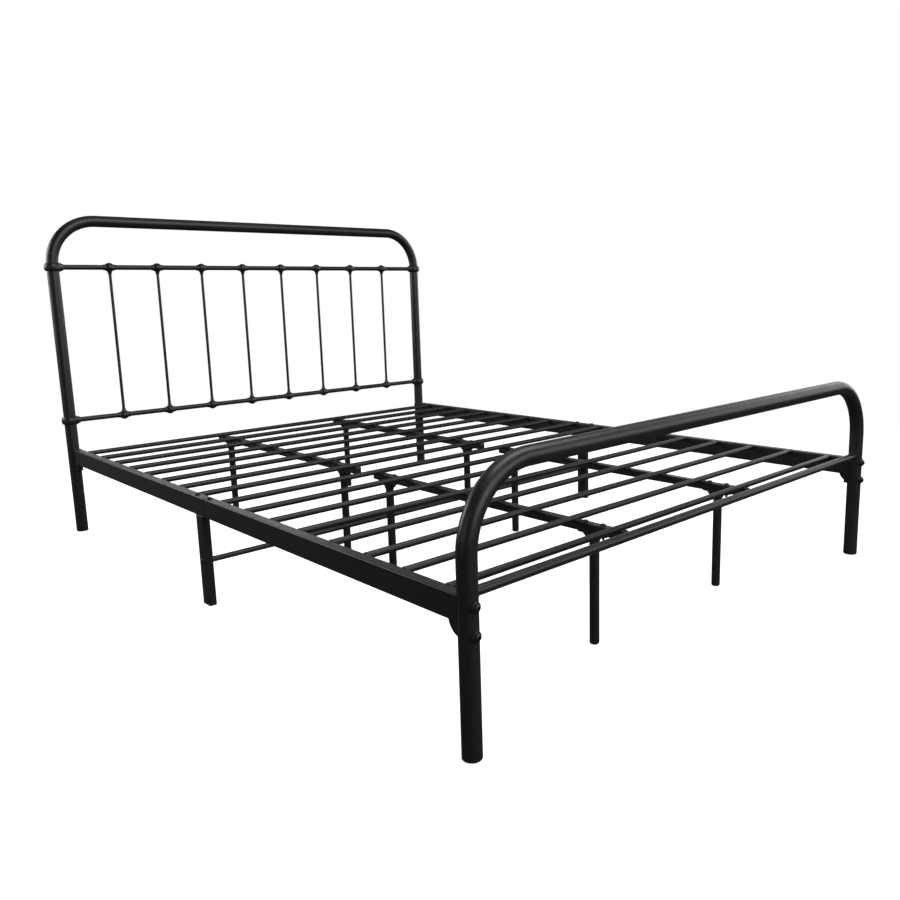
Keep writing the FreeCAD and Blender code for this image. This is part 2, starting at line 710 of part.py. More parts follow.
def post_bolts():
    """The bolts that hold the side rails to the posts, heads on the outside."""
    body = new_body("post_bolts")
    seat = -(s.post_y + s.hoop_od / 2 + s.saddle_thick)
    x, z = -s.post_x, s.bolt_low
    finish_feature(body, bolt_shape(body, s.post_head, s.post_tall, s.post_bolt,
                                    s.post_long, x, seat, z, flat=True))
    finish_feature(body, key_socket(body, "XZ_Plane", s.post_key, s.post_tall,
                                    x, seat - s.post_tall, z, False))
    repeat(body, "Z_Axis", s.bolt_rise, 2)
    mirror(body, "YZ_Plane")
    mirror(body, "XZ_Plane")


def post_washers():
    """Washers curved to the posts, under the post bolt heads."""
    body = new_body("post_washers")
    outside = s.post_y + s.hoop_od / 2 + s.saddle_thick
    disc = sketch(body, "XZ_Plane", y=-outside)
    circle(disc, s.saddle_od, -s.post_x, s.bolt_low)
    circle(disc, s.post_bolt, -s.post_x, s.bolt_low)
    finish_feature(body, pad(body, disc, s.saddle_thick * 2, back=True))
    post = sketch(body, "XY_Plane", x=-s.post_x, y=-s.post_y, z=s.bolt_low)
    circle(post, s.hoop_od)
    finish_feature(body, pocket(body, post))
    repeat(body, "Z_Axis", s.bolt_rise, 2)
    mirror(body, "YZ_Plane")
    mirror(body, "XZ_Plane")


# ------------------------------------------------------------------ the bed frame

ALONG_X = ((0, 1, 0), 90)
gap = s.post_x - s.hoop_od / 2
clear = s.rail_out - s.rail_wide

end_hoop("headboard_hoop", s.head_top, s.post_y)
round_tube("headboard_upper_rail", s.bar_od, s.bar_wall, gap * 2,
           -gap, s.post_y, s.bar_high, ALONG_X)
round_tube("headboard_lower_rail", s.bar_od, s.bar_wall, gap * 2,
           -gap, s.post_y, s.bar_low, ALONG_X)
for number in range(8):
    round_tube(f"headboard_spindle_{number + 1}", s.spindle_od, s.spindle_wall,
               s.bar_high - s.bar_low - s.bar_od,
               s.spindle_pitch * (number - 3.5), s.post_y, s.bar_low + s.bar_od / 2)
spindle_knuckles()
post_collars()

end_hoop("footboard_hoop", s.foot_top, -s.post_y)
round_tube("footboard_crossbar", s.cross_od, s.cross_wall, gap * 2,
           -gap, -s.post_y, s.cross_high, ALONG_X)

rail_end = s.post_y - s.hoop_od / 2 - s.plate_thick
foot_start = s.seam_y - s.seam_gap
for side, hand in ((-1, "left"), (1, "right")):
    side_rail(f"{hand}_rail_head_half", side, rail_end, rail_end - s.seam_y,
              s.slat_first, s.joint_y)
    side_rail(f"{hand}_rail_foot_half", side, foot_start, foot_start + rail_end,
              s.slat_last, -s.joint_y)
    mid_leg(f"{hand}_mid_leg", side)
    centre_rail(f"{hand}_centre_rail_head", side, s.keel_head_from, s.keel_head_to,
                s.slat_first, (s.leg_near, s.leg_far))
    centre_rail(f"{hand}_centre_rail_foot", side, s.keel_foot_from, s.keel_foot_to,
                s.slat_last, (-s.leg_near, -s.leg_far))
    for number, y in enumerate((s.leg_far, s.leg_near, -s.leg_near, -s.leg_far), start=1):
        centre_leg(f"{hand}_centre_leg_{number}", side, y)
rail_end_brackets()
joint_sleeves()
mid_stretcher()

slat_half = clear - s.plug_lip
for number in range(16):
    y = s.slat_last + s.slat_pitch * number if number < 8 else (
        s.slat_first + s.slat_pitch * (number - 8))
    round_tube(f"slat_{number + 1:02d}", s.slat_od, s.slat_wall, slat_half * 2,
               -slat_half, y, s.slat_high, ALONG_X)
slat_end_plugs()

post_foot_caps()
mid_leg_caps()
centre_leg_caps()
post_bolts()
post_washers()
frame_bolts()
leg_nuts()

doc.recompute()

# ------------------------------------------------------------------ checks and export

for item in doc.Objects:
    if "Invalid" in item.State or "Error" in item.State:
        raise RuntimeError(f"{item.Label} did not recompute: {item.State}")
os.makedirs("parts", exist_ok=True)
for part in SUB_PARTS:
    shape = part.Shape
    if shape.isNull() or not shape.isValid():
        raise RuntimeError(f"{part.Label} has no valid shape")
    shape.exportStep(f"parts/{part.Label}.step")
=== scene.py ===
import math

import bpy
import numpy as np
from mathutils import Matrix, Vector


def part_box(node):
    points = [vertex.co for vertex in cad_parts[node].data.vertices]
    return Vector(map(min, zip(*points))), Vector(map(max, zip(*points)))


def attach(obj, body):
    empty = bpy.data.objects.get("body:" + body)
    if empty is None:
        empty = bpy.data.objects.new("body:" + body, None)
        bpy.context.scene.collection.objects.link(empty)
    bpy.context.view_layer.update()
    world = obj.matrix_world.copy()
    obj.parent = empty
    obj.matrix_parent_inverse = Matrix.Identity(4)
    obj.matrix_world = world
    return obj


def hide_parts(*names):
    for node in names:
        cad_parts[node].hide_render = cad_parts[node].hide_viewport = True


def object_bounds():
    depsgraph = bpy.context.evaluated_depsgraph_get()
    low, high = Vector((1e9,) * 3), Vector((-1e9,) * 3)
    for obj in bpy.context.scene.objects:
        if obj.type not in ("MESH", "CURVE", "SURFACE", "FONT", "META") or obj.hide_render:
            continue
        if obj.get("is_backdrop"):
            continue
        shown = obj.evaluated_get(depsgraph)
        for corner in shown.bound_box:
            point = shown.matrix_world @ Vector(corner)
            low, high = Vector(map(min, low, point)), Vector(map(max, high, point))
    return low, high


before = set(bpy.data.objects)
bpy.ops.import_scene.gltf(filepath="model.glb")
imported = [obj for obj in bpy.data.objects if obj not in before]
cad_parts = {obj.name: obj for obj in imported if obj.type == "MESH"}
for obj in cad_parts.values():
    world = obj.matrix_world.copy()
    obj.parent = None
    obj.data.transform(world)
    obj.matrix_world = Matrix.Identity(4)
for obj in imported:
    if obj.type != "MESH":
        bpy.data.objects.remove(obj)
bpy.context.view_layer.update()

scene = bpy.context.scene
MM = 0.001
TURN = 2 * math.pi
TINY = 1e-6


# ------------------------------------------------------------------ places from the CAD

def limits(node):
    """The low and high corners of a CAD node's box."""
    low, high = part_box(node)
    return np.array(low), np.array(high)


def middle(node):
    """The middle of a CAD node's box."""
    low, high = limits(node)
    return (low + high) / 2


HEAD_LOW, HEAD_HIGH = limits("headboard_hoop")
FOOT_LOW, FOOT_HIGH = limits("footboard_hoop")
HOOP_R = (HEAD_HIGH[1] - HEAD_LOW[1]) / 2
POST_X = HEAD_HIGH[0] - HOOP_R
HEAD_Y = HEAD_HIGH[1] - HOOP_R
FOOT_Y = FOOT_LOW[1] + HOOP_R
BEND = 150 * MM  # radius of the tube axis in both end hoops
BAR_HIGH = middle("headboard_upper_rail")[2]
BAR_LOW = middle("headboard_lower_rail")[2]
SPINDLES = [f"headboard_spindle_{n}" for n in range(1, 9)]
SLATS = [f"slat_{n:02d}" for n in range(1, 17)]
SLAT_R = (limits("slat_01")[1][2] - limits("slat_01")[0][2]) / 2
SLAT_Z = middle("slat_01")[2]
RAIL_LOW, RAIL_HIGH = limits("left_rail_head_half")
RAIL_TOP = RAIL_HIGH[2]
RAIL_UNDER = RAIL_LOW[2]
RAIL_OUT = -RAIL_LOW[0]
RAIL_IN = -RAIL_HIGH[0]
KEEL_LOW, KEEL_HIGH = limits("left_centre_rail_head")
KEEL_X = -(KEEL_LOW[0] + KEEL_HIGH[0]) / 2
MID_LOW, MID_HIGH = limits("left_mid_leg")
BRACKET_LOW, BRACKET_HIGH = limits("rail_end_brackets")


# ------------------------------------------------------------------ sizes no box gives

BALL_R = 16.2 * MM
RAIL_NECK_R = 10.2 * MM
RAIL_NECK_REACH = 20.6 * MM
SPINDLE_NECK_R = 6.9 * MM
SPINDLE_NECK_REACH = 23.4 * MM
BARREL_R = 26.6 * MM
BARREL_HALF = 15.0 * MM
CONE_ROOT = 23.5 * MM
CONE_SLOPE = 0.4
CONE_REACH = 33.6 * MM
CAST_SHARP = 50  # degrees between faces that still read as one smooth casting
WELD_SHARP = 60

SADDLE_WIDE = 23 * MM
SADDLE_GAP = 4 * MM  # from the post's side to the face where the rail is welded on
SADDLE_OUT = BRACKET_HIGH[0]
SADDLE_IN = SADDLE_OUT - SADDLE_WIDE
SADDLE_FACE = HEAD_Y - HOOP_R - SADDLE_GAP
WEB_REACH = 24 * MM
WEB_SWELL = 4.6 * MM
WEB_THICK = 3 * MM

FLANGE_HALF = 10 * MM
FLANGE_THICK = 2.5 * MM
CHEEK_X = 9 * MM
CHEEK_ROOT = 6 * MM
CHEEK_REACH = 26 * MM
CHEEK_TALL = 21.4 * MM
CHEEK_THICK = 2 * MM

POST_BOLT = dict(radius=7 * MM, tall=5 * MM, key=5 * MM, shank=4 * MM, length=49 * MM)
SMALL_BOLT = dict(radius=7 * MM, tall=4.5 * MM, key=4 * MM, shank=3 * MM, length=33 * MM)
WASHER = dict(radius=10.5 * MM, hole=4.1 * MM, thick=3 * MM)
LEG_BOLT = 25 * MM  # from a centre leg's axis to each of its two bolts
SEAM_BOLT = 36 * MM  # from the rail seam to the bolt on each side of it


# ------------------------------------------------------------------ surfaces on a grid

def grid_quads(rows, columns):
    """Quads between neighbouring rows of a grid whose last column meets its first."""
    row = np.arange(rows - 1)[:, None] * columns
    here = np.arange(columns)[None, :]
    there = (here + 1) % columns
    quads = np.stack((row + here, row + there, row + columns + there, row + columns + here),
                     axis=-1)
    return quads.reshape(-1, 4)


def shell(rings):
    """A closed shell from rings[i, j]: quads between rings and a fan over each end ring.

    Every shell is its points, its quads and its triangles.
    """
    rows, columns = rings.shape[:2]
    ends = np.stack((rings[0].mean(axis=0), rings[-1].mean(axis=0)))
    points = np.concatenate((rings.reshape(-1, 3), ends))
    here = np.arange(columns)
    there = (here + 1) % columns
    start = (rows - 1) * columns
    first = np.stack((there, here, np.full(columns, rows * columns)), axis=-1)
    last = np.stack((start + here, start + there, np.full(columns, rows * columns + 1)),
                    axis=-1)
    return points, grid_quads(rows, columns), np.concatenate((first, last))


def ring_shell(rings):
    """A closed tube bent round on itself: rings joined last to first, and each one closed."""
    rows, columns = rings.shape[:2]
    quads = grid_quads(rows + 1, columns) % (rows * columns)
    return rings.reshape(-1, 3), quads, np.empty((0, 3), int)


def outwards(points, quads, triangles):
    """The same shell with its faces turned outwards, going by the sign of its volume."""
    halves = np.concatenate((quads[:, (0, 1, 2)], quads[:, (0, 2, 3)], triangles))
    first, second, third = points[halves].transpose(1, 0, 2)
    if (first * np.cross(second, third)).sum() < 0:
        quads, triangles = quads[:, ::-1], triangles[:, ::-1]
    return points, quads, triangles


def together(shells):
    """Several shells as one list of points and one of faces, each counted on from the last."""
    points, quads, triangles = zip(*(outwards(*item) for item in shells))
    starts = np.cumsum([0] + [len(part) for part in points[:-1]])
    quads = np.concatenate([part + start for part, start in zip(quads, starts)])
    triangles = np.concatenate([part + start for part, start in zip(triangles, starts)])
    return np.concatenate(points), quads.tolist() + triangles.tolist()


def piece(name, shells, material, nodes, sharp=35):
    """Makes one named piece of the bed from its shells and hides the CAD nodes it stands for."""
    points, faces = together(shells)
    mesh = bpy.data.meshes.new(name)
    mesh.from_pydata(points.tolist(), [], faces)
    mesh.update()
    mesh.shade_smooth()
    mesh.set_sharp_from_angle(angle=math.radians(sharp))
    mesh.materials.append(material)
    item = bpy.data.objects.new(name, mesh)
    scene.collection.objects.link(item)
    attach(item, "root")
    if nodes:
        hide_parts(*nodes)
    return item


# ------------------------------------------------------------------ shapes

def frame_of(axis):
    """Three columns: two directions across the axis, then the axis itself."""
    return {
        "x": np.array(((0, 1, 0), (0, 0, 1), (1, 0, 0)), float),
        "y": np.array(((0, 0, 1), (1, 0, 0), (0, 1, 0)), float),
        "z": np.array(((1, 0, 0), (0, 1, 0), (0, 0, 1)), float),
    }[axis]


def lathe(profile, centre, axis="z", way=1, count=40):
    """Turned shape: centre + axis * height + radius * (cos angle, sin angle) across it.

    profile is a list of (radius, height); way -1 turns the heights the other way.
    """
    across, beside, along = frame_of(axis)
    radius, height = np.array(profile, float).T
    angle = np.linspace(0, TURN, count, endpoint=False)
    spread = np.cos(angle)[:, None] * across + np.sin(angle)[:, None] * beside
    rings = (np.asarray(centre) + height[:, None, None] * along * way
             + radius[:, None, None] * spread[None, :, :])
    return shell(rings)


def rod(radius, start, length, axis="z", ease=0.6 * MM, count=40):
    """A straight round bar or tube with its end edges eased, from start along the axis."""
    profile = ((radius - ease, 0), (radius - 0.3 * ease, 0.3 * ease), (radius, ease),
               (radius, ease * 2), (radius, length - ease * 2), (radius, length - ease),
               (radius - 0.3 * ease, length - 0.3 * ease), (radius - ease, length))
    return lathe(profile, start, axis, count=count)


def rounded_section(wide, tall, corner, steps=5):
    """A rectangle with quarter-circle corners and a support point beside each corner."""
    angle = np.linspace(0, math.pi / 2, steps)
    arc = np.stack((np.cos(angle), np.sin(angle)), axis=-1) * corner
    lead = np.array(((corner, -0.4 * corner),))
    trail = np.array(((-0.4 * corner, corner),))
    quarter = np.concatenate((lead, arc, trail))
    points = []
    for quadrant, (sx, sy) in enumerate(((1, 1), (-1, 1), (-1, -1), (1, -1))):
        turn = quadrant * math.pi / 2
        spin = np.array(((math.cos(turn), math.sin(turn)), (-math.sin(turn), math.cos(turn))))
        offset = np.array((sx * (wide / 2 - corner), sy * (tall / 2 - corner)))
        points.append(quarter @ spin + offset)
    return np.concatenate(points)


def beam(low, high, axis, corner=2.2 * MM, ease=0.8 * MM):
    """A box tube from low to high: a rounded section carried along the axis, ends eased."""
    low, high = np.asarray(low, float), np.asarray(high, float)
    across, beside, along = frame_of(axis)
    span = high - low
    centre = (low + high) / 2
    wide, tall, length = span @ across, span @ beside, span @ along
    stations = ((-length / 2, ease), (-length / 2 + ease * 0.4, ease * 0.35),
                (-length / 2 + ease, 0), (-length / 2 + ease * 3, 0),
                (length / 2 - ease * 3, 0), (length / 2 - ease, 0),
                (length / 2 - ease * 0.4, ease * 0.35), (length / 2, ease))
    rings = []
    for place, inset in stations:
        section = rounded_section(wide - inset * 2, tall - inset * 2,
                                  max(corner - inset, corner * 0.3))
        rings.append(centre + along * place + section[:, :1] * across + section[:, 1:] * beside)
    return shell(np.array(rings))


def bent_tube(x_half, y, low, high, radius, bend, count=48):
    """An end hoop: a circle carried up one post, round a bend, across, and down again.

    Point = path(s) + radius * (cos a * outward(s) * squeeze(s) + sin a * Y), where squeeze
    thins the tube a little in the middle of each bend, as bending does.
    """
    rise = high - bend
    turn = np.linspace(0, math.pi / 2, 29)[1:-1]
    leg_rings, top_rings = 14, 24
    legs = np.linspace(low, rise, leg_rings)
    left_leg = np.stack((np.full(leg_rings, -x_half), legs), axis=-1)
    left_bend = np.stack((-x_half + bend - bend * np.cos(turn), rise + bend * np.sin(turn)),
                         axis=-1)
    top = np.linspace(-x_half + bend, x_half - bend, top_rings)
    top_run = np.stack((top, np.full(top_rings, high)), axis=-1)
    path = np.concatenate((left_leg, left_bend, top_run,
                           left_bend[::-1] * (-1, 1), left_leg[::-1] * (-1, 1)))
    side = np.concatenate((np.tile((-1.0, 0.0), (leg_rings, 1)),
                           np.stack((-np.cos(turn), np.sin(turn)), axis=-1),
                           np.tile((0.0, 1.0), (top_rings, 1)),
                           np.stack((np.cos(turn), np.sin(turn)), axis=-1)[::-1],
                           np.tile((1.0, 0.0), (leg_rings, 1))))
    thin = 1 - 0.02 * np.sin(turn * 2)
    squeeze = np.concatenate((np.ones(leg_rings), thin, np.ones(top_rings), thin,
                              np.ones(leg_rings)))
    angle = np.linspace(0, TURN, count, endpoint=False)
    out = np.stack((side[:, 0], np.zeros(len(side)), side[:, 1]), axis=-1)
    spine = np.stack((path[:, 0], np.full(len(path), y), path[:, 1]), axis=-1)
    rings = (spine[:, None, :]
             + radius * (np.cos(angle)[None, :, None] * (out * squeeze[:, None])[:, None, :]
                         + np.sin(angle)[None, :, None] * np.array((0.0, 1.0, 0.0))))
    return shell(rings)


def directions(rows, columns):
    """Unit vectors over a sphere whose poles lie on Y, clear of every neck."""
    fall = np.linspace(0.02, math.pi - 0.02, rows)[:, None]
    turn = np.linspace(0, TURN, columns, endpoint=False)[None, :]
    return np.stack((np.sin(fall) * np.cos(turn), np.cos(fall) * np.ones_like(turn),
                     np.sin(fall) * np.sin(turn)), axis=-1)


def reach_of_rod(across, along, radius, length):
    """How far a ray from the centre goes before it leaves a rod: through side or end."""
    side = radius / np.maximum(across, 1e-9)
    end = np.where(along > TINY, length / np.maximum(along, TINY), 0.0)
    return np.where(along > TINY, np.minimum(side, end), 0.0)


def melt(reaches, power=14):
    """Joins reaches into one cast skin: (sum of reach ** power) ** (1 / power)."""
    return sum(reach ** power for reach in reaches) ** (1 / power)


def knuckle(centre, up):
    """A cast ball with a neck each way on the rail and one on the spindle, melted together."""
    ray = directions(44, 60)
    x, y, z = ray[..., 0], ray[..., 1], ray[..., 2] * up
    round_x = np.hypot(y, z)
    reach = melt((np.full_like(x, BALL_R),
                  reach_of_rod(round_x, np.abs(x), RAIL_NECK_R, RAIL_NECK_REACH),
                  reach_of_rod(np.hypot(x, y), z, SPINDLE_NECK_R, SPINDLE_NECK_REACH)))
    return shell(np.asarray(centre) + ray * reach[..., None])


def collar(centre, inward):
    """A cast post collar: a barrel 1 / ((r / R)^q + (z / H)^q)^(1/q) melted with a cone."""
    ray = directions(52, 72)
    x, y, z = ray[..., 0] * inward, ray[..., 1], ray[..., 2]
    power = 3.6
    barrel = ((np.hypot(x, y) / BARREL_R) ** power
              + (np.abs(z) / BARREL_HALF) ** power) ** (-1 / power)
    lateral = np.hypot(y, z)
    cone = np.where(x > TINY, CONE_ROOT / (lateral + CONE_SLOPE * np.maximum(x, 0)), 0.0)
    cone = np.minimum(cone, np.where(x > TINY, CONE_REACH / np.maximum(x, TINY), 0.0))
    reach = melt((barrel, cone), 16)
    reach = np.minimum(reach, np.where(x < 0, BARREL_R, 1.0))
    return shell(np.asarray(centre) + ray * reach[..., None])


def bolt_head(centre, axis, way, radius, tall, key, shank, length, count=48):
    """A button head with a hexagon socket, and its shank, as one turned grid.

    Round rings climb the dome; the inner rings follow radius = key / 2 / cos(angle within a
    sixth of a turn), which is the hexagon, down to the socket floor.
    """
    across, beside, along = frame_of(axis)
    angle = np.linspace(0, TURN, count, endpoint=False)
    hexagon = key / 2 / np.cos((angle + math.pi / 6) % (math.pi / 3) - math.pi / 6)
    ones = np.ones(count)
    dome = np.linspace(0, math.pi / 2, 7)
    rings = [(ones * shank * 0.8, -length), (ones * shank, -length + shank * 0.2),
             (ones * shank, 0.0), (ones * radius * 0.97, 0.0), (ones * radius, tall * 0.06)]
    flat = key * 0.66
    for a in dome[:-1]:
        rings.append((ones * (flat + (radius - flat) * math.cos(a)),
                      tall * (0.22 + 0.78 * math.sin(a))))
    rings.append((ones * flat, tall))
    rings.append((hexagon * 1.06, tall))
    rings.append((hexagon, tall * 0.94))
    rings.append((hexagon, tall * 0.42))
    rings.append((hexagon * 0.5, tall * 0.36))
    spread = np.cos(angle)[:, None] * across + np.sin(angle)[:, None] * beside
    points = np.array([np.asarray(centre) + along * way * h + r[:, None] * spread
                       for r, h in rings])
    return shell(points)


def saddle_washer(centre, outward, radius, hole, thick, count=56):
    """A disc lying on a post: its back follows y = sqrt(post^2 - x^2), its face is flat.

    Each ring is a radius and how far it lies behind the face; no depth means on the post.
    """
    angle = np.linspace(0, TURN, count, endpoint=False)
    x, z = np.cos(angle), np.sin(angle)
    face = HOOP_R + thick
    rings = []
    for r, lift in ((hole, None), (radius, None), (radius, -0.9 * MM),
                    (radius - 0.3 * MM, -0.3 * MM), (radius - 1.0 * MM, 0.0), (hole, 0.0)):
        if lift is None:
            depth = np.sqrt(HOOP_R ** 2 - (r * x) ** 2)
        else:
            depth = np.full(count, face + lift)
        rings.append(np.stack((centre[0] + r * x, centre[1] + outward * depth,
                               centre[2] + r * z), axis=-1))
    return ring_shell(np.array(rings))


def plate(outline, thick, axis, centre, ease=0.5 * MM):
    """A flat plate: an outline across the axis, carried through its thickness, edges eased."""
    across, beside, along = frame_of(axis)
    outline = np.array(outline, float)
    inner = outline - outline.mean(axis=0)
    shrink = 1 - ease / np.maximum(np.linalg.norm(inner, axis=1, keepdims=True), 1e-9)
    eased = outline.mean(axis=0) + inner * shrink
    rings = []
    for shape, height in ((eased, 0), (outline, ease), (outline, thick - ease), (eased, thick)):
        rings.append(np.asarray(centre) + along * height + shape[:, :1] * across
                     + shape[:, 1:] * beside)
    return shell(np.array(rings))


def bead(path, radius, closed=True, seed=0, ripple=0.12, count=10):
    """A weld bead: a small circle along a path, its radius rippling as the puddle froze.

    Radius = r * (1 + ripple * sin(k s) + slow noise), s being the way along the path.
    """
    path = np.asarray(path, float)
    ahead = np.roll(path, -1, axis=0)
    behind = np.roll(path, 1, axis=0)
    if not closed:
        ahead[-1], behind[0] = path[-1], path[0]
    tangent = ahead - behind
    tangent /= np.linalg.norm(tangent, axis=1, keepdims=True)
    step = np.linalg.norm(np.diff(path, axis=0), axis=1)
    way = np.concatenate(((0,), np.cumsum(step)))
    guide = np.array((0.3, 0.2, 0.93))
    first = np.cross(tangent, guide)
    first /= np.linalg.norm(first, axis=1, keepdims=True)
    second = np.cross(tangent, first)
    wave = np.sin(way / (1.7 * MM) * TURN + seed) * ripple
    slow = np.sin(way / (9.0 * MM) * TURN + seed * 2.3) * ripple * 0.5
    size = radius * (1 + wave + slow)
    if not closed:
        size[0] = size[-1] = radius * 0.45
    angle = np.linspace(0, TURN, count, endpoint=False)
    rings = (path[:, None, :] + size[:, None, None]
             * (np.cos(angle)[None, :, None] * first[:, None, :]
                + np.sin(angle)[None, :, None] * second[:, None, :]))
    return ring_shell(rings) if closed else shell(rings)


def straight(start, end, count):
    """Evenly spaced points from start to end."""
    return np.linspace(start, end, count)


# ------------------------------------------------------------------ finishes

def socket(group, name, kind, way, value=None):
    """Adds a named input or output to a node group."""
    item = group.interface.new_socket(name=name, in_out=way, socket_type=kind)
    if value is not None:
        item.default_value = value


def node(tree, kind, place=(0, 0), **settings):
    """Adds a node at a place in the tree, with its settings."""
    item = tree.nodes.new(kind)
    item.location = place
    for key, value in settings.items():
        setattr(item, key, value)
    return item


def fresh_tree(holder):
    """Turns a material or world to nodes and empties its tree."""
    holder.use_nodes = True
    holder.node_tree.nodes.clear()
    return holder.node_tree


def feed(tree, target, source):
    """Links a socket to an input, or sets the input when the source is a plain value."""
    if isinstance(source, bpy.types.NodeSocket):
        tree.links.new(source, target)
    else:
        target.default_value = source


def feed_all(tree, item, **sources):
    """Feeds several inputs, named with an underscore for each space."""
    for name, source in sources.items():
        feed(tree, item.inputs[name.replace("_", " ")], source)
    return item


def noise(tree, place, where, scale, detail, roughness=0.5):
    """Noise over the given coordinates, as its value from 0 to 1."""
    item = node(tree, "ShaderNodeTexNoise", place)
    feed_all(tree, item, Vector=where, Scale=scale, Detail=detail, Roughness=roughness)
    return item.outputs["Fac"]


def remap(tree, place, source, start, end, to=(0.0, 1.0), curve="LINEAR"):
    """Carries start..end over to another range, held at both ends."""
    item = node(tree, "ShaderNodeMapRange", place, interpolation_type=curve)
    feed_all(tree, item, Value=source, From_Min=start, From_Max=end, To_Min=to[0],
             To_Max=to[1])
    return item.outputs["Result"]


def maths(tree, place, operation, first, second):
    """One sum of two values, each of them a socket or a number."""
    item = node(tree, "ShaderNodeMath", place, operation=operation)
    feed(tree, item.inputs[0], first)
    feed(tree, item.inputs[1], second)
    return item.outputs[0]


def mixed(tree, place, factor, first, second):
    """Two shaders mixed by a factor."""
    item = node(tree, "ShaderNodeMixShader", place)
    feed(tree, item.inputs["Fac"], factor)
    feed(tree, item.inputs[1], first)
    feed(tree, item.inputs[2], second)
    return item.outputs["Shader"]


def powder_coat_group():
    """Powder coat: orange peel at two sizes for the normal, slow tone and gloss drift.

    A little dust shows on faces that look up.
    """
    group = bpy.data.node_groups.new("powder_coat_skin", "ShaderNodeTree")
    socket(group, "Tone", "NodeSocketColor", "INPUT", (0.02, 0.018, 0.016, 1))
    socket(group, "Roughness", "NodeSocketFloat", "INPUT", 0.35)
    socket(group, "Peel Size", "NodeSocketFloat", "INPUT", 520.0)
    socket(group, "Peel Depth", "NodeSocketFloat", "INPUT", 0.035)
    socket(group, "Dust", "NodeSocketFloat", "INPUT", 0.05)
    socket(group, "Color", "NodeSocketColor", "OUTPUT")
    socket(group, "Roughness", "NodeSocketFloat", "OUTPUT")
    socket(group, "Normal", "NodeSocketVector", "OUTPUT")
    entry = node(group, "NodeGroupInput", (-900, 0)).outputs
    leave = node(group, "NodeGroupOutput", (700, 0)).inputs
    where = node(group, "ShaderNodeTexCoord", (-900, -300)).outputs["Object"]
    drift = noise(group, (-600, 200), where, scale=5.5, detail=3.0)
    fine = noise(group, (-600, -100), where, scale=entry["Peel Size"], detail=2.5,
                 roughness=0.55)
    wide = noise(group, (-600, -400), where, scale=70.0, detail=1.5)

    shade = remap(group, (-350, 220), drift, 0.3, 0.7, to=(0.86, 1.14))
    toned = node(group, "ShaderNodeVectorMath", (-100, 240), operation="SCALE")
    feed(group, toned.inputs[0], entry["Tone"])
    feed(group, toned.inputs["Scale"], shade)

    facing = node(group, "ShaderNodeNewGeometry", (-900, 500)).outputs["Normal"]
    split = node(group, "ShaderNodeSeparateXYZ", (-700, 500))
    feed(group, split.inputs["Vector"], facing)
    upward = remap(group, (-500, 500), split.outputs["Z"], 0.55, 1.0)
    fleck = noise(group, (-500, 760), where, scale=160.0, detail=6.0, roughness=0.75)
    speck = remap(group, (-300, 760), fleck, 0.5, 0.78)
    settle = maths(group, (-100, 600), "MULTIPLY", upward, speck)
    amount = maths(group, (80, 600), "MULTIPLY", settle, entry["Dust"])
    dusty = node(group, "ShaderNodeMix", (300, 300), data_type="RGBA")
    feed_all(group, dusty, Factor=amount, A=toned.outputs["Vector"], B=(0.32, 0.3, 0.27, 1))
    feed(group, leave["Color"], dusty.outputs["Result"])

    gloss = remap(group, (-100, 0), wide, 0.3, 0.7, to=(-0.035, 0.045))
    sheen = maths(group, (120, 0), "ADD", entry["Roughness"], gloss)
    feed(group, leave["Roughness"], sheen)

    waves = maths(group, (-300, -350), "MULTIPLY", wide, 2.2)
    height = maths(group, (-120, -250), "ADD", fine, waves)
    bump = node(group, "ShaderNodeBump", (300, -250))
    feed_all(group, bump, Distance=0.6 * MM, Strength=entry["Peel Depth"], Height=height)
    feed(group, leave["Normal"], bump.outputs["Normal"])
    return group


SKIN = powder_coat_group()


def finish_material(name, tone, roughness, peel_size, peel_depth, dust, metallic=0.0):
    """A Principled finish whose tone, gloss and normal come from the shared skin group."""
    material = bpy.data.materials.new(name)
    tree = fresh_tree(material)
    skin = node(tree, "ShaderNodeGroup", (-300, 0), node_tree=SKIN)
    feed_all(tree, skin, Tone=(*tone, 1), Roughness=roughness, Peel_Size=peel_size,
             Peel_Depth=peel_depth, Dust=dust)
    shader = node(tree, "ShaderNodeBsdfPrincipled")
    feed_all(tree, shader, Base_Color=skin.outputs["Color"], Metallic=metallic,
             Roughness=skin.outputs["Roughness"], Normal=skin.outputs["Normal"])
    out = node(tree, "ShaderNodeOutputMaterial", (300, 0))
    feed(tree, out.inputs["Surface"], shader.outputs["BSDF"])
    return material


BLACK_COAT = (0.019, 0.0172, 0.016)
frame_paint = finish_material("satin_powder_coat", BLACK_COAT, roughness=0.35,
                              peel_size=520, peel_depth=0.035, dust=0.05)
cast_paint = finish_material("cast_powder_coat", BLACK_COAT, roughness=0.33,
                             peel_size=380, peel_depth=0.05, dust=0.05)
weld_paint = finish_material("painted_weld", BLACK_COAT, roughness=0.36,
                             peel_size=700, peel_depth=0.1, dust=0.04)
cap_plastic = finish_material("black_cap_plastic", (0.016, 0.016, 0.017), roughness=0.5,
                              peel_size=900, peel_depth=0.25, dust=0.1)
plug_plastic = finish_material("black_plug_plastic", (0.02, 0.02, 0.02), roughness=0.3,
                               peel_size=900, peel_depth=0.08, dust=0.02)
black_steel = finish_material("black_oxide_steel", (0.045, 0.043, 0.041), roughness=0.34,
                              peel_size=800, peel_depth=0.1, dust=0.03, metallic=0.7)


# ------------------------------------------------------------------ the end hoops

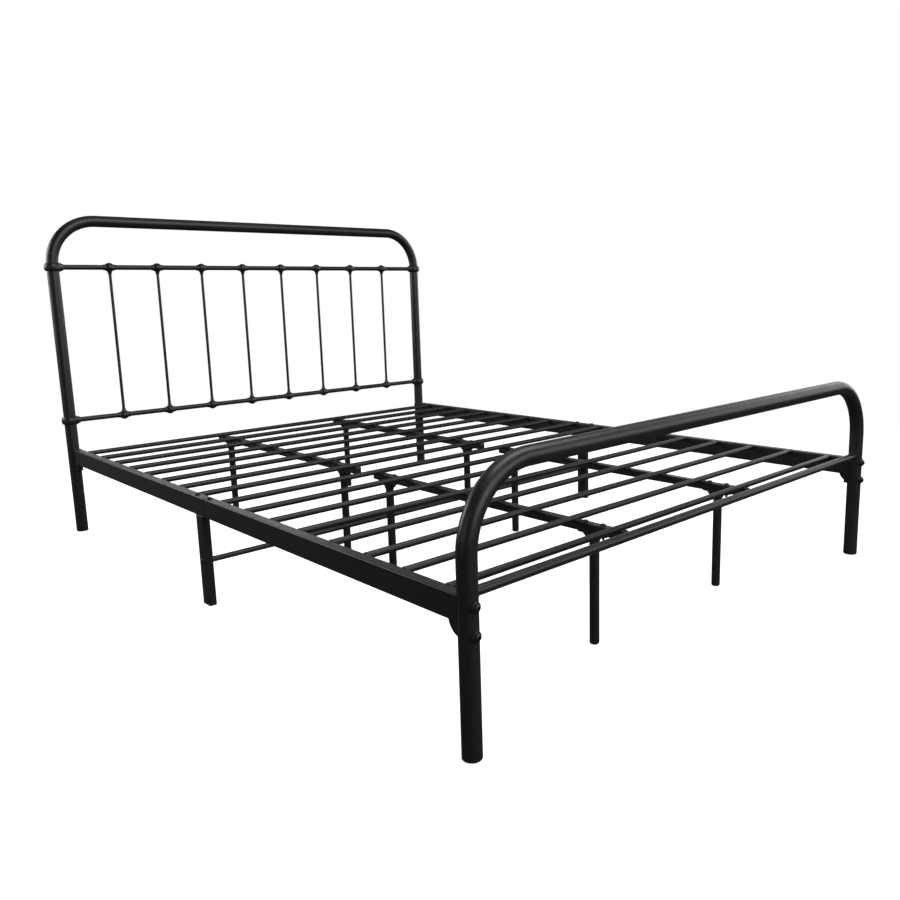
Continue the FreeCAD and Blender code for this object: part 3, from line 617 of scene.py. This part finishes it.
def caps_at(places, radius, rim, soft):
    """Round foot caps: flat sole, a rounded edge of the given radius, then the rim."""
    angle = np.linspace(-math.pi / 2, 0, 8)
    edge = [(radius - soft + soft * math.cos(a), soft + soft * math.sin(a)) for a in angle]
    profile = [(radius * 0.45, 0.0)] + edge + [(radius, rim - 0.5 * MM),
                                              (radius - 0.4 * MM, rim - 0.05 * MM),
                                              (radius - 1.6 * MM, rim + 0.2 * MM)]
    return [lathe(profile, (x, y, 0.0), count=48) for x, y in places]


piece("headboard_hoop", [bent_tube(POST_X, HEAD_Y, HEAD_LOW[2], HEAD_HIGH[2] - HOOP_R,
                                   HOOP_R, BEND)],
      frame_paint, ["headboard_hoop"])
piece("footboard_hoop", [bent_tube(POST_X, FOOT_Y, FOOT_LOW[2], FOOT_HIGH[2] - HOOP_R,
                                   HOOP_R, BEND)],
      frame_paint, ["footboard_hoop"])
posts = [(sx * POST_X, y) for sx in (-1, 1) for y in (HEAD_Y, FOOT_Y)]
piece("post_foot_caps", caps_at(posts, HOOP_R, HEAD_LOW[2], 2.2 * MM),
      cap_plastic, ["post_foot_caps"])

for name in ("headboard_upper_rail", "headboard_lower_rail", "footboard_crossbar"):
    low, high = limits(name)
    size = (high[2] - low[2]) / 2
    start = (low[0], (low[1] + high[1]) / 2, (low[2] + high[2]) / 2)
    piece(name, [rod(size, start, high[0] - low[0], "x")], frame_paint, [name])

for name in SPINDLES:
    low, high = limits(name)
    centre = (low + high) / 2
    piece(name, [rod((high[0] - low[0]) / 2, (centre[0], centre[1], low[2]),
                     high[2] - low[2], "z", count=28)],
          frame_paint, [name])

knuckles = []
for name in SPINDLES:
    x = middle(name)[0]
    knuckles.append(knuckle((x, HEAD_Y, BAR_LOW), 1))
    knuckles.append(knuckle((x, HEAD_Y, BAR_HIGH), -1))
piece("spindle_knuckles", knuckles, cast_paint, ["spindle_knuckles"],
      CAST_SHARP)

collars = [collar((sx * POST_X, HEAD_Y, z), -sx) for sx in (-1, 1)
           for z in (BAR_LOW, BAR_HIGH)]
piece("post_collars", collars, cast_paint, ["post_collars"], CAST_SHARP)


# ------------------------------------------------------------------ side rails and brackets

for hand in ("left", "right"):
    for half in ("head", "foot"):
        name = f"{hand}_rail_{half}_half"
        low, high = limits(name)
        piece(name, [beam(low, high, "y", 2.4 * MM)], frame_paint, [name])


def saddle(sx, sy, count=26):
    """The block on a rail end: its back follows y = Y - sqrt(r^2 - (x - X)^2) round the post.

    The section is a rounded rectangle from face to back, carried across from side to side.
    """
    across = np.linspace(SADDLE_OUT, SADDLE_IN, count)
    back = HEAD_Y - np.sqrt(np.maximum(HOOP_R ** 2 - (across - POST_X) ** 2, 0))
    back = np.minimum(back, BRACKET_HIGH[1])
    tall = BRACKET_HIGH[2] - BRACKET_LOW[2]
    rings = []
    for x, far in zip(across, back):
        section = rounded_section(far - SADDLE_FACE, tall, 0.7 * MM, 4)
        rings.append(np.stack((np.full(len(section), sx * x),
                               sy * (section[:, 0] + (far + SADDLE_FACE) / 2),
                               section[:, 1] + BRACKET_LOW[2] + tall / 2), axis=-1))
    return shell(np.array(rings))


def bracket_web(sx, sy):
    """The web under a rail end: its free edge is a chord with a bulge of 4 t (1 - t)."""
    t = np.linspace(0, 1, 16)
    drop = RAIL_UNDER - BRACKET_LOW[2]
    swell = WEB_SWELL * 4 * t * (1 - t)
    chord = math.hypot(WEB_REACH, drop)
    y = SADDLE_FACE - WEB_REACH * t - swell * drop / chord
    z = BRACKET_LOW[2] + drop * t - swell * WEB_REACH / chord
    outline = np.stack((sy * y, z), axis=-1)
    outline = np.concatenate((outline, ((sy * SADDLE_FACE, RAIL_UNDER),)))
    x = SADDLE_OUT - WEB_THICK if sx > 0 else -SADDLE_OUT
    return plate(outline, WEB_THICK, "x", (x, 0, 0), 0.4 * MM)


brackets = [make(sx, sy) for sx in (-1, 1) for sy in (-1, 1) for make in (saddle, bracket_web)]
piece("rail_end_brackets", brackets, frame_paint, ["rail_end_brackets"])


# ------------------------------------------------------------------ slats and their plugs

for name in SLATS:
    low, high = limits(name)
    centre = (low + high) / 2
    piece(name, [rod(SLAT_R, (low[0], centre[1], centre[2]), high[0] - low[0], "x")],
          frame_paint, [name])

# Radius and height from the rail's wall: a thin collar with a soft edge, then the stem.
plugs = []
plug_profile = ((4.0 * MM, -1.2 * MM), (4.0 * MM, 0.0), (7.4 * MM, 0.0), (7.9 * MM, 0.25 * MM),
                  (8.0 * MM, 0.8 * MM), (7.9 * MM, 1.4 * MM), (7.5 * MM, 2.0 * MM),
                  (6.7 * MM, 2.0 * MM), (6.7 * MM, 12 * MM), (6.0 * MM, 16 * MM))
for name in SLATS:
    y = middle(name)[1]
    for sx in (-1, 1):
        plugs.append(lathe(plug_profile, (sx * RAIL_IN, y, SLAT_Z), "x", -sx, 28))
piece("slat_end_plugs", plugs, plug_plastic, ["slat_end_plugs"])


# ------------------------------------------------------------------ legs and centre rails

for hand in ("left", "right"):
    name = f"{hand}_mid_leg"
    low, high = limits(name)
    piece(name, [beam(low, high, "z", 2.0 * MM)], frame_paint, [name])
soles = []
for sx in (-1, 1):
    sides = sorted((-sx * MID_LOW[0], -sx * MID_HIGH[0]))
    soles.append(beam((sides[0], MID_LOW[1], 0), (sides[1], MID_HIGH[1], MID_LOW[2]), "z",
                      2.2 * MM, 0.9 * MM))
piece("mid_leg_caps", soles, cap_plastic, ["mid_leg_caps"])
low, high = limits("mid_stretcher")
centre = (low + high) / 2
piece("mid_stretcher", [rod((high[2] - low[2]) / 2, (low[0], centre[1], centre[2]),
                            high[0] - low[0], "x")],
      frame_paint, ["mid_stretcher"])

for hand in ("left", "right"):
    for half in ("head", "foot"):
        name = f"{hand}_centre_rail_{half}"
        low, high = limits(name)
        piece(name, [beam(low, high, "y", 1.8 * MM)], frame_paint, [name])


def cheek(x, y, way, top):
    """A stiffening cheek: its depth falls away from the leg as tall * (1 - t)^2.2."""
    t = np.linspace(0, 1, 14)
    places = CHEEK_ROOT + (CHEEK_REACH - CHEEK_ROOT) * t
    depths = CHEEK_TALL * (1 - t) ** 2.2 + 0.5 * MM
    rings = []
    for place, depth in zip(places, depths):
        section = rounded_section(CHEEK_THICK, depth, 0.2 * MM, 3)
        rings.append(np.stack((x + section[:, 0], np.full(len(section), y + way * place),
                               top - depth / 2 + section[:, 1]), axis=-1))
    return shell(np.array(rings))


leg_places = []
for hand in ("left", "right"):
    for number in range(1, 5):
        name = f"{hand}_centre_leg_{number}"
        low, high = limits(name)
        x, y = ((low + high) / 2)[:2]
        leg_places.append((x, y))
        radius = (high[0] - low[0]) / 2
        under = high[2] - FLANGE_THICK
        shells = [rod(radius, (x, y, low[2]), under - low[2], "z"),
                  beam((x - FLANGE_HALF, low[1], under),
                       (x + FLANGE_HALF, high[1], high[2]), "z", 3.0 * MM, 0.4 * MM)]
        shells += [cheek(x + side * CHEEK_X, y, way, under)
                   for side in (-1, 1) for way in (-1, 1)]
        piece(name, shells, frame_paint, [name])
leg_rim = limits("left_centre_leg_1")[0][2]
leg_radius = (limits("centre_leg_caps")[1][0] - max(x for x, y in leg_places))
piece("centre_leg_caps", caps_at(leg_places, leg_radius, leg_rim, 5 * MM),
      cap_plastic, ["centre_leg_caps"])


# ------------------------------------------------------------------ bolts and washers

low, high = limits("post_bolts")
bolt_low = low[2] + POST_BOLT["radius"]
bolt_high = high[2] - POST_BOLT["radius"]
post_bolts = []
washers = []
for sx in (-1, 1):
    for sy in (-1, 1):
        for z in (bolt_low, bolt_high):
            y = sy * HEAD_Y
            seat = sy * (HEAD_Y + HOOP_R + WASHER["thick"])
            post_bolts.append(bolt_head((sx * POST_X, seat, z), "y", sy, **POST_BOLT))
            washers.append(saddle_washer((sx * POST_X, y, z), sy, **WASHER))
piece("post_bolts", post_bolts, black_steel, ["post_bolts"])
piece("post_washers", washers, black_steel, ["post_washers"])

frame_bolts = []
for x, y in leg_places:
    for sy in (-1, 1):
        frame_bolts.append(bolt_head((x, y + sy * LEG_BOLT, KEEL_HIGH[2]), "z", 1,
                                     **SMALL_BOLT))
for sx in (-1, 1):
    for sy in (-1, 1):
        frame_bolts.append(bolt_head((sx * (RAIL_OUT + RAIL_IN) / 2, sy * SEAM_BOLT, RAIL_TOP),
                                     "z", 1, **SMALL_BOLT))
    frame_bolts.append(bolt_head((sx * RAIL_OUT, *middle("mid_stretcher")[1:]), "x", sx,
                                 **SMALL_BOLT))
piece("frame_bolts", frame_bolts, black_steel, ["frame_bolts"])


# ------------------------------------------------------------------ welds

welds = []
angle = np.linspace(0, TURN, 90, endpoint=False)
for sx in (-1, 1):
    size = 9.8 * MM
    lean = POST_X - np.sqrt(HOOP_R ** 2 - (size * np.cos(angle)) ** 2)
    ring = np.stack((sx * (lean - 0.4 * MM), FOOT_Y + size * np.cos(angle),
                     middle("footboard_crossbar")[2] + size * np.sin(angle)), axis=-1)
    welds.append(bead(ring, 1.9 * MM, seed=sx))
    inner = -sx * MID_LOW[0]
    outer = -sx * MID_HIGH[0]
    for y in (MID_LOW[1], MID_HIGH[1]):
        welds.append(bead(straight((inner, y, RAIL_UNDER), (outer, y, RAIL_UNDER), 24),
                          1.6 * MM, closed=False, seed=y * 50))
    for sy in (-1, 1):
        rim = sy * SADDLE_FACE
        across = straight((sx * RAIL_IN, rim, RAIL_TOP), (sx * RAIL_OUT, rim, RAIL_TOP), 24)
        welds.append(bead(across, 1.3 * MM, closed=False, seed=sx + 3 * sy))
NOTCH = math.sqrt(SLAT_R ** 2 - (SLAT_Z - KEEL_HIGH[2]) ** 2)
for name in SLATS:
    y = middle(name)[1]
    for x in (-KEEL_X, KEEL_X):
        for way in (-1, 1):
            ends = [(x + side * 10.2 * MM, y + way * (NOTCH + 0.6 * MM), KEEL_HIGH[2] + 0.2 * MM)
                    for side in (-1, 1)]
            welds.append(bead(straight(*ends, 20), 1.7 * MM, closed=False, seed=y * 9 + x))
piece("weld_beads", welds, weld_paint, [], WELD_SHARP)

# The sleeves and nuts keep their CAD shapes and only take on a finish.
for name in ("mid_joint_sleeves", "leg_nuts"):
    cad_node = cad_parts[name]
    cad_node.data.materials.clear()
    cad_node.data.materials.append(black_steel if name == "leg_nuts" else frame_paint)


# ------------------------------------------------------------------ floor, light and camera

def plain(tree, kind, place, grey, output):
    """A diffuse, emission or background node of one grey."""
    item = node(tree, kind, place)
    item.inputs["Color"].default_value = (grey, grey, grey, 1)
    return item.outputs[output]


def floor_material():
    """Pale floor that fades into the white room; it throws back less light than it shows."""
    material = bpy.data.materials.new("pale_floor")
    tree = fresh_tree(material)
    seen = plain(tree, "ShaderNodeBsdfDiffuse", (-200, 100), 0.9, "BSDF")
    thrown = plain(tree, "ShaderNodeBsdfDiffuse", (-200, -100), 0.08, "BSDF")
    room = plain(tree, "ShaderNodeEmission", (-200, 300), 1, "Emission")
    glow = plain(tree, "ShaderNodeEmission", (-200, 0), 0.86, "Emission")
    where = node(tree, "ShaderNodeTexCoord", (-900, 300)).outputs["Object"]
    away = node(tree, "ShaderNodeVectorMath", (-700, 300), operation="LENGTH")
    feed(tree, away.inputs[0], where)
    fade = remap(tree, (-500, 300), away.outputs["Value"], 1.2, 3.4, curve="SMOOTHSTEP")
    near = node(tree, "ShaderNodeAddShader", (-50, 100))
    feed(tree, near.inputs[0], seen)
    feed(tree, near.inputs[1], glow)
    open_floor = mixed(tree, (0, 200), fade, near.outputs["Shader"], room)
    path = node(tree, "ShaderNodeLightPath", (-400, 500)).outputs["Is Camera Ray"]
    out = node(tree, "ShaderNodeOutputMaterial", (400, 0))
    feed(tree, out.inputs["Surface"], mixed(tree, (200, 0), path, thrown, open_floor))
    return material


def white_room():
    """A world that shows white behind the bed and lights it hardly at all."""
    world = bpy.data.worlds.new("studio")
    tree = fresh_tree(world)
    path = node(tree, "ShaderNodeLightPath", (-600, 200)).outputs["Is Camera Ray"]
    seen = plain(tree, "ShaderNodeBackground", (-200, 100), 1, "Background")
    around = plain(tree, "ShaderNodeBackground", (-200, -100), 0.01, "Background")
    out = node(tree, "ShaderNodeOutputWorld", (200, 0))
    feed(tree, out.inputs["Surface"], mixed(tree, (0, 0), path, around, seen))
    return world


floor_mesh = bpy.data.meshes.new("floor")
floor_mesh.from_pydata([(-30, -30, 0), (30, -30, 0), (30, 30, 0), (-30, 30, 0)], [],
                       [(0, 1, 2, 3)])
floor_mesh.materials.append(floor_material())
floor = bpy.data.objects.new("floor", floor_mesh)
scene.collection.objects.link(floor)
floor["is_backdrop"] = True

scene.world = white_room()


def hang(name, data, place, ray):
    """Puts a lamp in the scene, aimed along the ray and out of the camera's sight."""
    lamp = bpy.data.objects.new(name, data)
    lamp.location = place
    lamp.rotation_euler = Vector(ray).to_track_quat("-Z", "Y").to_euler()
    lamp.visible_camera = False
    scene.collection.objects.link(lamp)


def softbox(name, place, target, size, power):
    """A soft rectangular lamp of so many watts, aimed at a target."""
    data = bpy.data.lights.new(name, "AREA")
    data.shape = "RECTANGLE"
    data.size, data.size_y = size
    data.energy = power
    hang(name, data, place, np.array(target) - np.array(place))


def lit_wall(name, bearing, rise, strength):
    """A far bright wall: light from a wide patch, the bearing clockwise from the head end."""
    data = bpy.data.lights.new(name, "SUN")
    data.angle = math.radians(42)
    data.energy = strength
    turn, lift = math.radians(bearing), math.radians(rise)
    hang(name, data, (0, 0, 3), (-math.sin(turn) * math.cos(lift),
                                 -math.cos(turn) * math.cos(lift), -math.sin(lift)))


lit_wall("right_wall", 90, 8, 0.87)
lit_wall("right_front_wall", 135, 8, 0.52)
lit_wall("front_wall", 180, 8, 0.40)
lit_wall("front_wall_above", 180, 32, 0.35)
lit_wall("left_wall", 270, 8, 0.32)
lit_wall("right_back_wall", 45, 8, 0.11)
BED = (0.0, 0.0, 0.4)
softbox("back_left_softbox", (-2.6, 2.8, 1.6), BED, (2.0, 1.6), 51)
softbox("back_softbox", (0.2, 3.2, 1.4), BED, (2.6, 1.4), 10)
softbox("front_softbox", (0.0, -3.4, 1.2), BED, (2.4, 1.4), 11)
softbox("right_softbox", (2.8, 0.3, 1.1), BED, (2.4, 1.4), 6)
softbox("overhead_softbox", (0.0, 0.2, 3.0), BED, (2.6, 2.8), 8)
softbox("foot_softbox", (0.2, -1.2, 2.3), (0.2, -1.0, 0.4), (2.4, 1.0), 26)

EYE = np.array((-1.6264, -2.0122, 0.7956))
YAW = math.radians(43.316)  # clockwise from the head end, seen from above
PITCH = math.radians(-10.068)
ROLL = math.radians(-1.338)
ahead = np.array((math.sin(YAW) * math.cos(PITCH), math.cos(YAW) * math.cos(PITCH),
                  math.sin(PITCH)))
level = np.array((math.cos(YAW), -math.sin(YAW), 0.0))
above = np.cross(level, ahead)
right = math.cos(ROLL) * level + math.sin(ROLL) * above
up = -math.sin(ROLL) * level + math.cos(ROLL) * above
lens = bpy.data.cameras.new("camera")
lens.sensor_width = 36
lens.lens = 32.52
lens.shift_x = -0.0467
lens.shift_y = -0.0128
camera = bpy.data.objects.new("camera", lens)
camera.matrix_world = Matrix([[right[i], up[i], -ahead[i], EYE[i]] for i in range(3)]
                             + [[0, 0, 0, 1]])
scene.collection.objects.link(camera)
scene.camera = camera
scene.view_settings.view_transform = "Standard"

low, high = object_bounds()
